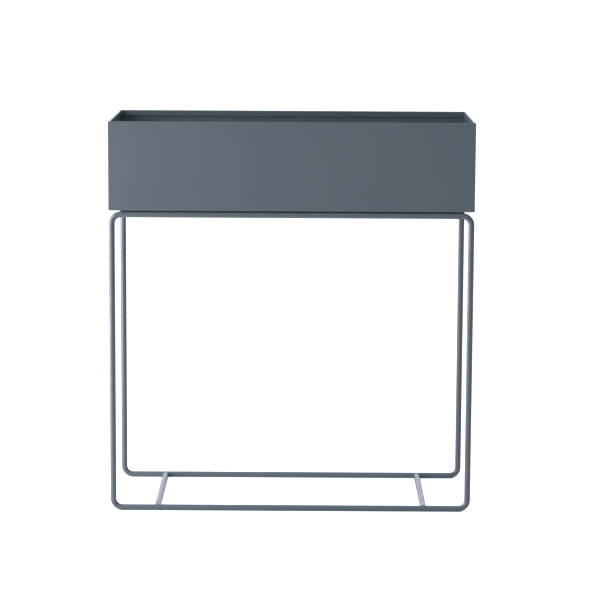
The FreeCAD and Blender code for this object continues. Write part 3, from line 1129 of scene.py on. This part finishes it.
class PLANTER_OT_washers(bpy.types.Operator):
    """Punch the rubber sealing washers"""

    bl_idname = "planter.washers"
    bl_label = "Washers"

    def execute(self, context):
        fastener = context.scene.planter_fastener
        bm = bmesh.new()
        hole = fastener.screw_radius + 0.15 * MM
        corners = [
            (hole, WASHER_LOW.z, 0.1 * MM),
            (WASHER_RADIUS, WASHER_LOW.z, 0.35 * MM),
            (WASHER_RADIUS, WASHER_HIGH.z, 0.35 * MM),
            (hole, WASHER_HIGH.z, 0.1 * MM),
        ]
        for centre in screw_centres():
            spin_section(bm, corners, centre, fastener.turned_segments, 4)
        rubber = rubber_material("washer_rubber", 0.7)
        finish_piece(bm, "rubber_washers", rubber, "washer_rubber", "sealing_washers")
        return {"FINISHED"}


class PLANTER_OT_nuts(bpy.types.Operator):
    """Forge the flange nuts under the support bars"""

    bl_idname = "planter.nuts"
    bl_label = "Nuts"

    def execute(self, context):
        fastener = context.scene.planter_fastener
        bm = bmesh.new()
        for centre in screw_centres():
            self.add_nut(bm, centre, fastener)
        steel = steel_material("nut_steel", (1, 1, 3), 0.34)
        finish_piece(bm, "hexagon_nuts", steel, "nut_steel", "flange_nuts")
        return {"FINISHED"}

    @staticmethod
    def add_nut(bm, centre, fastener):
        """Add one nut: flange, hexagon with its turned chamfer, and bore."""
        flange_radius = NUT_HIGH.x - BAR_X
        top = NUT_HIGH.z
        bottom = NUT_LOW.z
        corner = fastener.nut_width / math.sqrt(3)
        bore = fastener.screw_radius + 0.05 * MM
        face = fastener.nut_width / 2 * 0.95
        neck = top - fastener.nut_flange
        corners = [
            (bore, top, 0),
            (flange_radius, top, 0.1 * MM),
            (flange_radius, top - 0.6 * MM, 0.25 * MM),
            (corner + 0.15 * MM, neck, 0),
            (corner, neck - 0.1 * MM, 0),
            (corner, bottom + 0.5 * MM, 0),
            (face, bottom, 0),
            (bore + 0.4 * MM, bottom, 0),
            (bore, bottom + 0.4 * MM, 0),
        ]
        sides = on_radius(turned_verts(bm, corners, centre, fastener), centre, corner)
        middle = (bottom + neck) / 2
        upper = [vert for vert in sides if vert.co.z > middle]
        lower = [vert for vert in sides if vert.co.z <= middle]
        press_hexagon(upper, centre, fastener.nut_width)
        press_hexagon(lower, centre, fastener.nut_width, face, bottom)


# ---------------------------------------------------------------- stage
FLOOR_REACH = 40.0
KEY_PLACE = Vector((-1.27, -0.38, 0.71))
KEY_WIDTH = 0.35
KEY_HEIGHT = 1.38
SEEN_WHITE = 1.1


class PLANTER_OT_stage(bpy.types.Operator):
    """Set up the pale floor, the soft studio light and the camera"""

    bl_idname = "planter.stage"
    bl_label = "Stage"

    def execute(self, context):
        stage = context.scene.planter_stage
        self.add_floor(stage)
        self.add_room(stage)
        self.add_tall_key(stage)
        self.add_camera(stage)
        context.scene.view_settings.view_transform = "Standard"
        return {"FINISHED"}

    @staticmethod
    def add_floor(stage):
        """Wide pale floor, brightened for the camera alone."""
        bm = bmesh.new()
        bmesh.ops.create_grid(bm, x_segments=8, y_segments=8, size=FLOOR_REACH)
        mesh = bpy.data.meshes.new("floor")
        bm.to_mesh(mesh)
        bm.free()
        material, tree, shader = new_material("pale_floor")
        mottle = remap(tree, noise(tree, object_point(tree), 2.0, 3.0), 0.3, 0.7, 0.0, 1.0)
        pale = tuple(stage.floor_colour)
        shaded = tuple(0.97 * part for part in pale)
        tree.links.new(blend_colours(tree, mottle, shaded, pale), shader.inputs["Base Color"])
        shader.inputs["Roughness"].default_value = 0.9
        shader.inputs["Specular IOR Level"].default_value = 0.2
        shader.inputs["Emission Color"].default_value = (1, 1, 1, 1)
        seen = add_node(tree, "ShaderNodeLightPath").outputs["Is Camera Ray"]
        tree.links.new(combine(tree, "MULTIPLY", seen, stage.floor_glow), shader.inputs["Emission Strength"])
        mesh.materials.append(material)
        floor = bpy.data.objects.new("floor", mesh)
        bpy.context.scene.collection.objects.link(floor)

    @staticmethod
    def add_room(stage):
        """White room: plain white to the camera; its ceiling, backdrop and left wall give soft light."""
        world = bpy.data.worlds.new("studio_room")
        bpy.context.scene.world = world
        world.use_nodes = True
        tree = world.node_tree
        background = tree.nodes["Background"]
        direction = add_node(tree, "ShaderNodeSeparateXYZ")
        tree.links.new(add_node(tree, "ShaderNodeTexCoord").outputs["Generated"], direction.inputs[0])
        x, y, z = direction.outputs

        def glow(axis, sign, power, level):
            """Strength of a soft patch of light towards one side."""
            facing = combine(tree, "MAXIMUM", combine(tree, "MULTIPLY", axis, sign), 0.0)
            return combine(tree, "MULTIPLY", combine(tree, "POWER", facing, power), level)

        steepness = combine(tree, "ABSOLUTE", z, 0.0)
        near_horizon = combine(tree, "POWER", combine(tree, "SUBTRACT", 1.0, steepness), 2.0)
        backdrop = glow(y, 1.0, 7.0, stage.backdrop_level)
        sides = combine(tree, "ADD", backdrop, glow(x, -1.0, 2.0, stage.left_level))
        walls = add_node(tree, "ShaderNodeBackground", Color=(*stage.wall_tint, 1))
        tree.links.new(combine(tree, "MULTIPLY", sides, near_horizon), walls.inputs["Strength"])
        ceiling = add_node(tree, "ShaderNodeBackground", Color=(*stage.ceiling_tint, 1))
        tree.links.new(glow(z, 1.0, 1.0, stage.ceiling_level), ceiling.inputs["Strength"])
        room = add_node(tree, "ShaderNodeAddShader")
        tree.links.new(walls.outputs[0], room.inputs[0])
        tree.links.new(ceiling.outputs[0], room.inputs[1])
        background.inputs["Color"].default_value = (1, 1, 1, 1)
        background.inputs["Strength"].default_value = SEEN_WHITE
        choice = add_node(tree, "ShaderNodeMixShader")
        tree.links.new(add_node(tree, "ShaderNodeLightPath").outputs["Is Camera Ray"], choice.inputs[0])
        tree.links.new(room.outputs[0], choice.inputs[1])
        tree.links.new(background.outputs[0], choice.inputs[2])
        tree.links.new(choice.outputs[0], tree.nodes["World Output"].inputs["Surface"])

    @staticmethod
    def add_tall_key(stage):
        """Tall upright soft light on the left, a little in front of the planter."""
        lamp = bpy.data.lights.new("tall_key", "AREA")
        lamp.shape = "RECTANGLE"
        lamp.size = KEY_WIDTH
        lamp.size_y = KEY_HEIGHT
        lamp.energy = stage.key_power
        lamp.color = stage.key_tint
        light = bpy.data.objects.new("tall_key", lamp)
        bpy.context.scene.collection.objects.link(light)
        level_aim = Vector((-KEY_PLACE.x, -KEY_PLACE.y, 0.0))
        light.location = KEY_PLACE
        light.rotation_euler = level_aim.to_track_quat("-Z", "Y").to_euler()

    @staticmethod
    def add_camera(stage):
        """Camera in front of the planter and above its rim."""
        lens = bpy.data.cameras.new("camera")
        lens.sensor_width = 36.0
        lens.lens = stage.focal_length
        lens.shift_y = stage.camera_rise
        lens.clip_start = 0.1
        lens.clip_end = 200.0
        camera = bpy.data.objects.new("camera", lens)
        bpy.context.scene.collection.objects.link(camera)
        place = Matrix.Translation((stage.camera_x, -stage.camera_distance, stage.camera_height))
        yaw = Matrix.Rotation(stage.camera_yaw, 4, "Z")
        pitch = Matrix.Rotation(math.pi / 2 - stage.camera_pitch, 4, "X")
        roll = Matrix.Rotation(stage.camera_roll, 4, "Z")
        camera.matrix_world = place @ yaw @ pitch @ roll
        bpy.context.scene.camera = camera


# ---------------------------------------------------------------- add-on
class PLANTER_PT_panel(bpy.types.Panel):
    """Lists the planter's settings and operators."""

    bl_idname = "PLANTER_PT_panel"
    bl_label = "Raised Planter"
    bl_space_type = "VIEW_3D"
    bl_region_type = "UI"
    bl_category = "Planter"

    def draw(self, context):
        layout = self.layout
        for name, (title, group) in SETTINGS.items():
            box = layout.box()
            box.label(text=title)
            for key in group.__annotations__:
                box.prop(getattr(context.scene, name), key)
        for operator in OPERATORS:
            layout.operator(operator.bl_idname)


SETTINGS = {
    "planter_sheet": ("Sheet", PlanterSheetSettings),
    "planter_rod": ("Rods", PlanterRodSettings),
    "planter_weld": ("Welds", PlanterWeldSettings),
    "planter_fastener": ("Fasteners", PlanterFastenerSettings),
    "planter_finish": ("Finishes", PlanterFinishSettings),
    "planter_stage": ("Stage", PlanterStageSettings),
}

OPERATORS = (
    PLANTER_OT_box_trough,
    PLANTER_OT_box_ends,
    PLANTER_OT_box_seams,
    PLANTER_OT_rod_loops,
    PLANTER_OT_cross_rods,
    PLANTER_OT_stand_welds,
    PLANTER_OT_support_bars,
    PLANTER_OT_cushion_strips,
    PLANTER_OT_screws,
    PLANTER_OT_washers,
    PLANTER_OT_nuts,
    PLANTER_OT_stage,
)


def register():
    """Register the settings, operators and panel."""
    for name, (title, group) in SETTINGS.items():
        bpy.utils.register_class(group)
        setattr(bpy.types.Scene, name, PointerProperty(type=group))
    for operator in (*OPERATORS, PLANTER_PT_panel):
        bpy.utils.register_class(operator)


def unregister():
    """Take the settings, operators and panel away again."""
    for operator in (PLANTER_PT_panel, *reversed(OPERATORS)):
        bpy.utils.unregister_class(operator)
    for name, (title, group) in SETTINGS.items():
        delattr(bpy.types.Scene, name)
        bpy.utils.unregister_class(group)


def run_operator(operator):
    """Run one operator by its name in bpy.ops, and stop if it doesn't finish."""
    area, name = operator.bl_idname.split(".")
    outcome = getattr(getattr(bpy.ops, area), name)()
    if outcome != {"FINISHED"}:
        raise RuntimeError(f"{operator.bl_label} did not finish")


def main():
    """Build every piece and the stage."""
    register()
    for operator in OPERATORS:
        run_operator(operator)


if __name__ == "__main__":
    main()
